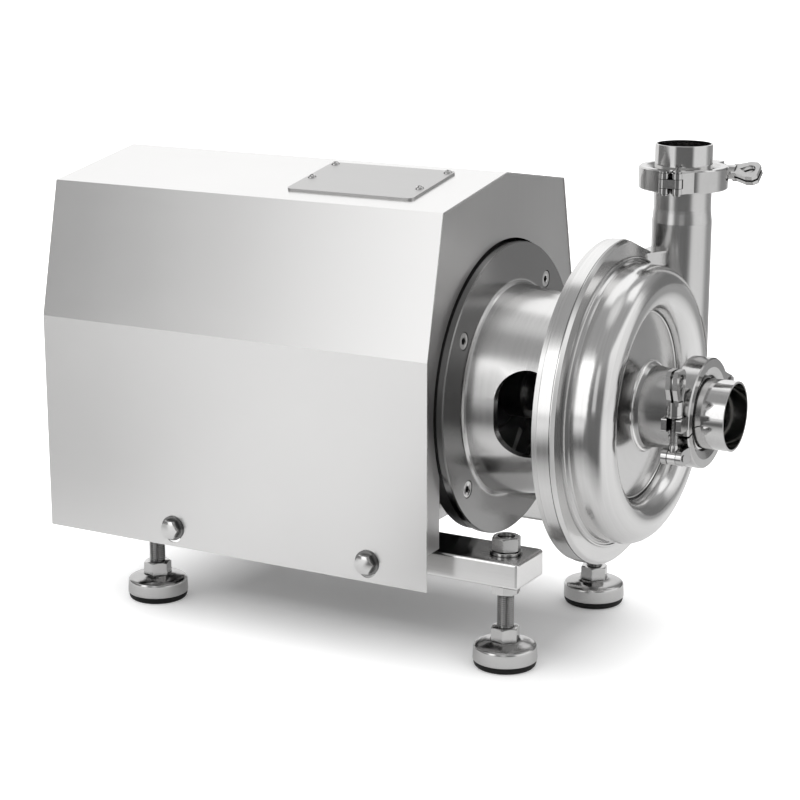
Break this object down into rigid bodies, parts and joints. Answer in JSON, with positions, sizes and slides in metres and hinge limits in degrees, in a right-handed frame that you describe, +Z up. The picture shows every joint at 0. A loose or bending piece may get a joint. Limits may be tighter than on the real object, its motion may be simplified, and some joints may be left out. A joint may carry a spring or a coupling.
{
  "type": "sanitary centrifugal pump",
  "caption": "Close-coupled stainless centrifugal pump under a sheet motor shroud on levelling feet, with end suction and upward discharge ferrule ports closed by hinged clamps.",
  "frame": {"origin": "on the floor under the middle of the overall box, below the shaft axis", "axes": "+X along the shaft from the motor to the suction port, +Z up, along the discharge port"},
  "size_m": [0.6772, 0.3264, 0.4638],
  "materials": {
    "bar_steel": "polished",
    "bearing_steel": "ground",
    "black_paint": "black enamel",
    "black_plastic": "moulded",
    "bolt_steel": "bright",
    "cast_stainless": "turned and polished",
    "clamp_steel": "polished casting",
    "copper": "enamelled",
    "front_panel": "satin",
    "gasket_rubber": "smooth",
    "lamination": "oiled",
    "motor_alloy": "black enamel",
    "pad_rubber": "matt",
    "plate_steel": "matt ground",
    "seal_ceramic": "lapped",
    "sheet_steel": "satin brushed",
    "tube_steel": "mirror polished",
    "white_rubber": "smooth"
  },
  "bodies": {
    "frame": {"access_plate": "plate_steel", "access_screws": "bolt_steel", "adapter": "cast_stainless", "adapter_screws": "bolt_steel", "back_plate": "cast_stainless", "cable_gland": "black_plastic", "casing": "cast_stainless", "casing_gasket": "gasket_rubber", "casing_screws": "bolt_steel", "cross_bars": "bar_steel", "discharge_gasket": "white_rubber", "discharge_jaw_fixed": "clamp_steel", "discharge_stub": "tube_steel", "fan_cowl": "black_paint", "motor_bearings": "bearing_steel", "motor_frame": "motor_alloy", "motor_front_shield": "black_paint", "motor_rear_shield": "black_paint", "outlet_pipe": "cast_stainless", "rail_far": "bar_steel", "rail_near": "bar_steel", "rail_nuts": "bolt_steel", "seal_seat": "seal_ceramic", "shroud_bolts": "bolt_steel", "shroud_brackets": "bolt_steel", "shroud_front_panel": "front_panel", "shroud_rear_panel": "front_panel", "shroud_skin": "sheet_steel", "stator_core": "lamination", "stator_windings": "copper", "suction_gasket": "white_rubber", "suction_jaw_fixed": "clamp_steel", "suction_stub": "tube_steel", "terminal_box": "motor_alloy", "terminal_lid": "motor_alloy"},
    "rotor": {"motor_shaft": "bolt_steel", "rotor_core": "lamination", "cooling_fan": "black_plastic", "pump_shaft": "bolt_steel", "impeller": "cast_stainless", "impeller_nut": "cast_stainless", "seal_rotating": "bolt_steel"},
    "suction_link": {"suction_link": "clamp_steel"},
    "suction_jaw_moving": {"suction_jaw_moving": "clamp_steel"},
    "suction_swing_bolt": {"suction_swing_bolt": "bolt_steel"},
    "suction_washer": {"suction_washer": "bolt_steel"},
    "suction_wing_nut": {"suction_wing_nut": "clamp_steel"},
    "discharge_link": {"discharge_link": "clamp_steel"},
    "discharge_jaw_moving": {"discharge_jaw_moving": "clamp_steel"},
    "discharge_swing_bolt": {"discharge_swing_bolt": "bolt_steel"},
    "discharge_washer": {"discharge_washer": "bolt_steel"},
    "discharge_wing_nut": {"discharge_wing_nut": "clamp_steel"},
    "foot_front_near": {"foot_stud_front_near": "bar_steel", "foot_pad_front_near": "pad_rubber"},
    "foot_front_far": {"foot_stud_front_far": "bar_steel", "foot_pad_front_far": "pad_rubber"},
    "foot_rear_near": {"foot_stud_rear_near": "bar_steel", "foot_pad_rear_near": "pad_rubber"},
    "foot_rear_far": {"foot_stud_rear_far": "bar_steel", "foot_pad_rear_far": "pad_rubber"}
  },
  "joints": [
    {"name": "rotor_spin", "type": "hinge", "parent": "frame", "child": "rotor", "pos_m": [0, 0, 0.236], "axis": [1, 0, 0], "continuous": true},
    {"name": "suction_link_hinge", "type": "hinge", "parent": "frame", "child": "suction_link", "pos_m": [0.30385, 0.057, 0.24249], "axis": [-1, 0, 0], "range_deg": [0, 1.99]},
    {"name": "suction_jaw_hinge", "type": "hinge", "parent": "suction_link", "child": "suction_jaw_moving", "pos_m": [0.30385, 0.05408, 0.25516], "axis": [-1, 0, 0], "range_deg": [0, 1.99]},
    {"name": "suction_bolt_swing", "type": "hinge", "parent": "frame", "child": "suction_swing_bolt", "pos_m": [0.30385, -0.059, 0.208], "axis": [1, 0, 0], "range_deg": [0, 100]},
    {"name": "suction_washer_slide", "type": "slide", "parent": "suction_swing_bolt", "child": "suction_washer", "axis": [0, 0, 1], "range_m": [0, 0.0075]},
    {"name": "suction_nut_turn", "type": "hinge", "parent": "suction_washer", "child": "suction_wing_nut", "pos_m": [0.30385, -0.059, 0.208], "axis": [0, 0, 1], "range_deg": [0, 2165]},
    {"name": "discharge_link_hinge", "type": "hinge", "parent": "frame", "child": "discharge_link", "pos_m": [0.24276, 0.05174, 0.4328], "axis": [0, 0, -1], "range_deg": [0, 2.3]},
    {"name": "discharge_jaw_hinge", "type": "hinge", "parent": "discharge_link", "child": "discharge_jaw_moving", "pos_m": [0.25464, 0.05341, 0.4328], "axis": [0, 0, -1], "range_deg": [0, 2.3]},
    {"name": "discharge_bolt_swing", "type": "hinge", "parent": "frame", "child": "discharge_swing_bolt", "pos_m": [0.22895, 0.1506, 0.4328], "axis": [0, 0, 1], "range_deg": [0, 100]},
    {"name": "discharge_washer_slide", "type": "slide", "parent": "discharge_swing_bolt", "child": "discharge_washer", "axis": [1, 0, 0], "range_m": [0, 0.0075]},
    {"name": "discharge_nut_turn", "type": "hinge", "parent": "discharge_washer", "child": "discharge_wing_nut", "pos_m": [0.22895, 0.1506, 0.4328], "axis": [1, 0, 0], "range_deg": [0, 2165]},
    {"name": "foot_front_near_height", "type": "slide", "parent": "frame", "child": "foot_front_near", "axis": [0, 0, 1], "range_m": [-0.01, 0.02]},
    {"name": "foot_front_far_height", "type": "slide", "parent": "frame", "child": "foot_front_far", "axis": [0, 0, 1], "range_m": [-0.01, 0.02]},
    {"name": "foot_rear_near_height", "type": "slide", "parent": "frame", "child": "foot_rear_near", "axis": [0, 0, 1], "range_m": [-0.01, 0.02]},
    {"name": "foot_rear_far_height", "type": "slide", "parent": "frame", "child": "foot_rear_far", "axis": [0, 0, 1], "range_m": [-0.01, 0.02]}
  ],
  "couplings": [
    {"joint": "suction_nut_turn", "follows": "suction_washer_slide", "rad_per_m": 5026.5},
    {"joint": "suction_link_hinge", "follows": "suction_washer_slide", "rad_per_m": 4.404},
    {"joint": "suction_jaw_hinge", "follows": "suction_washer_slide", "rad_per_m": 4.404},
    {"joint": "discharge_nut_turn", "follows": "discharge_washer_slide", "rad_per_m": 5026.5},
    {"joint": "discharge_link_hinge", "follows": "discharge_washer_slide", "rad_per_m": 5.1299},
    {"joint": "discharge_jaw_hinge", "follows": "discharge_washer_slide", "rad_per_m": 5.1299}
  ]
}
